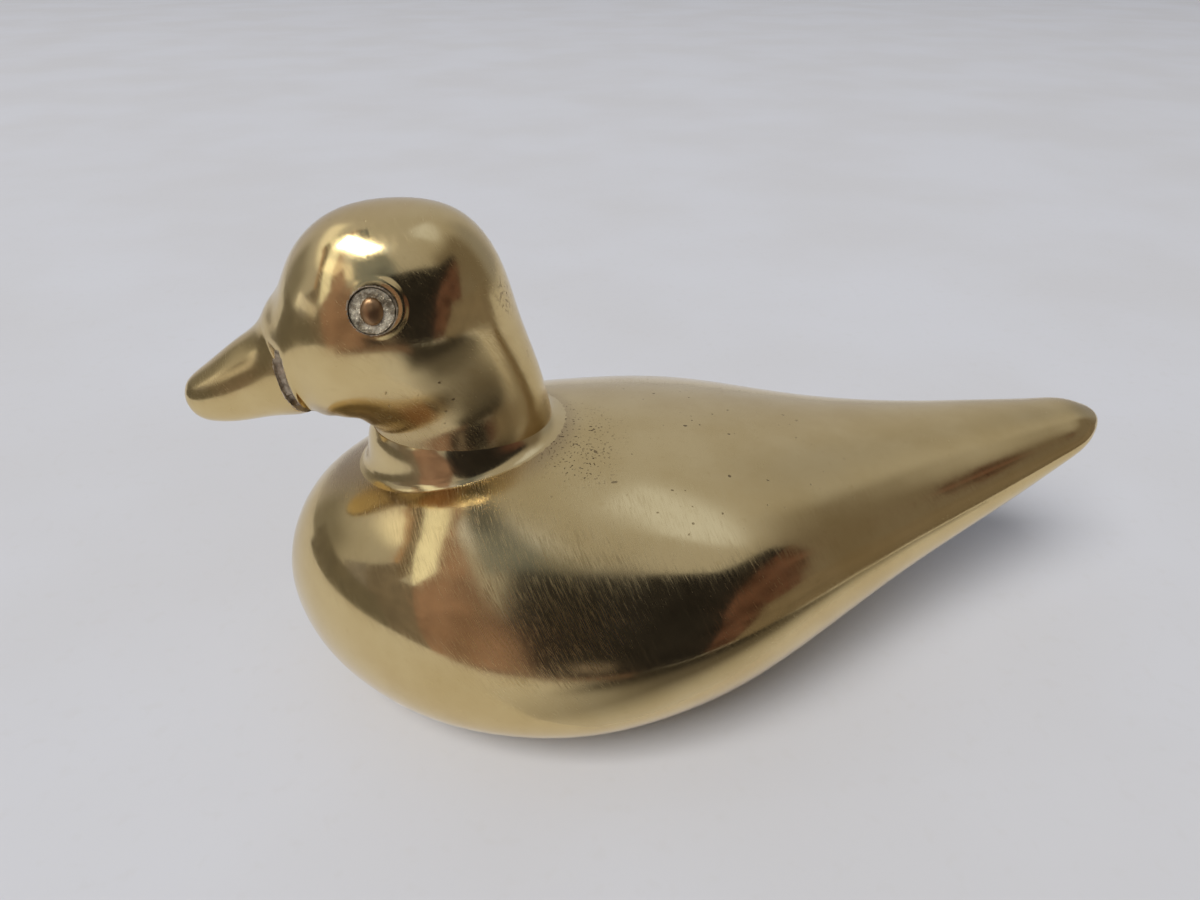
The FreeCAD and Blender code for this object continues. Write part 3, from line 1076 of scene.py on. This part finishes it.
def direction(azimuth, elevation, distance):
    """A vector from angles in degrees. Azimuth 0 is on the camera's side of the duck."""
    a, e = math.radians(azimuth), math.radians(elevation)
    return Vector((math.sin(a) * math.cos(e), -math.cos(a) * math.cos(e), math.sin(e))) * distance


def lamp(name, place, target, size_x, size_y, power, colour, long_axis=(1, 0, 0)):
    """A rectangular lamp that looks at its target, with its long side along an axis."""
    data = bpy.data.lights.new(name, "AREA")
    data.shape = "RECTANGLE"
    data.size, data.size_y = size_x, size_y
    data.energy = power
    data.color = colour
    obj = bpy.data.objects.new(name, data)
    away = (Vector(place) - Vector(target)).normalized()
    side = (Vector(long_axis) - away * Vector(long_axis).dot(away)).normalized()
    turn = Matrix((side, away.cross(side), away)).transposed()
    obj.matrix_world = Matrix.Translation(place) @ turn.to_4x4()
    bpy.context.scene.collection.objects.link(obj)
    return obj


key = lamp("key_lamp", direction(-38, 51, 6.0), (0, 0, 0.03), 3.2, 2.6, 372, (1.0, 0.99, 0.975))
key.visible_glossy = False
# Small lamps between the head and the cards, which light the head alone
SMALL_LAMP_AWAY = 0.11
glint_target = Vector((-0.033, -0.007, 0.056))
glint_place = glint_target + Vector((-0.361, -0.052, 0.931)) * SMALL_LAMP_AWAY
glint = lamp("glint_lamp", glint_place, glint_target, 0.062, 0.022, 0.055,
             (1.0, 0.99, 0.96), (0.54, -0.826, 0.165))
soft_target = Vector((-0.034, -0.008, 0.054))
soft_place = soft_target + direction(-56, 49, SMALL_LAMP_AWAY)
soft = lamp("soft_glint_lamp", soft_place, soft_target, 0.085, 0.024, 0.0034,
            (1.0, 0.95, 0.84), (0.54, -0.826, 0.165))
beak_target = Vector((-0.047, -0.004, 0.043))
beak_place = beak_target + direction(-76, 17, SMALL_LAMP_AWAY)
beak_strip = lamp("beak_strip_lamp", beak_place, beak_target, 0.070, 0.017, 0.0018,
                  (0.93, 0.95, 1.0), (-0.24, 0.97, 0))
head_only = bpy.data.collections.new("head_lamp_receivers")
for piece in [head] + pupils + washers:
    head_only.objects.link(piece)
for small_lamp in (glint, soft, beak_strip):
    small_lamp.light_linking.receiver_collection = head_only


def make_room():
    """The room that the metal sees. Each patch: azimuths, elevations, softness, colour."""
    patches = [
        (-190, -128, -12, 60, 12, (0.46, 0.46, 0.50)),
        (140, 190, -12, 60, 12, (0.47, 0.48, 0.53)),
        (108, 142, -12, 44, 12, (0.31, 0.32, 0.37)),
        (48, 112, -12, 54, 8, (0.19, 0.17, 0.155)),
        (-132, -98, -12, 26, 8, (0.22, 0.215, 0.21)),
        (80, 150, 62, 82, 5, (0.66, 0.72, 0.88)),
        (-90, -14, 60, 78, 5, (0.62, 0.67, 0.84)),
        (-142, -86, 37, 51, 4, (0.95, 0.95, 0.93)),
    ]
    world = bpy.data.worlds.new("Room")
    bpy.context.scene.world = world
    world.use_nodes = True
    world.node_tree.nodes.clear()
    n = Nodes(world.node_tree)
    split = n.add("ShaderNodeSeparateXYZ")
    n.link(n.add("ShaderNodeTexCoord").outputs["Generated"], split.inputs[0])
    turn = n.math("ARCTAN2", split.outputs["X"], n.math("MULTIPLY", split.outputs["Y"], -1.0))
    rise = n.math("ARCSINE", split.outputs["Z"])
    colour = (0.43, 0.43, 0.45, 1)
    for left, right, low, high, soft, tint in patches:
        left, right, low, high, soft = [math.radians(v) for v in (left, right, low, high, soft)]
        wide = n.math("MULTIPLY", n.ramp(turn, left - soft, left + soft),
                      n.ramp(turn, right - soft, right + soft, 1, 0))
        tall = n.math("MULTIPLY", n.ramp(rise, low - soft, low + soft),
                      n.ramp(rise, high - soft, high + soft, 1, 0))
        colour = n.mix(n.math("MULTIPLY", wide, tall), colour, (*tint, 1))
    rays = n.add("ShaderNodeLightPath")
    colour = n.mix(rays.outputs["Is Glossy Ray"], (0.27, 0.275, 0.295, 1), colour)
    ground = n.add("ShaderNodeBackground")
    n.link(colour, ground.inputs["Color"])
    n.link(ground.outputs[0], n.add("ShaderNodeOutputWorld").inputs["Surface"])


make_room()
bpy.context.scene.view_settings.view_transform = "Standard"
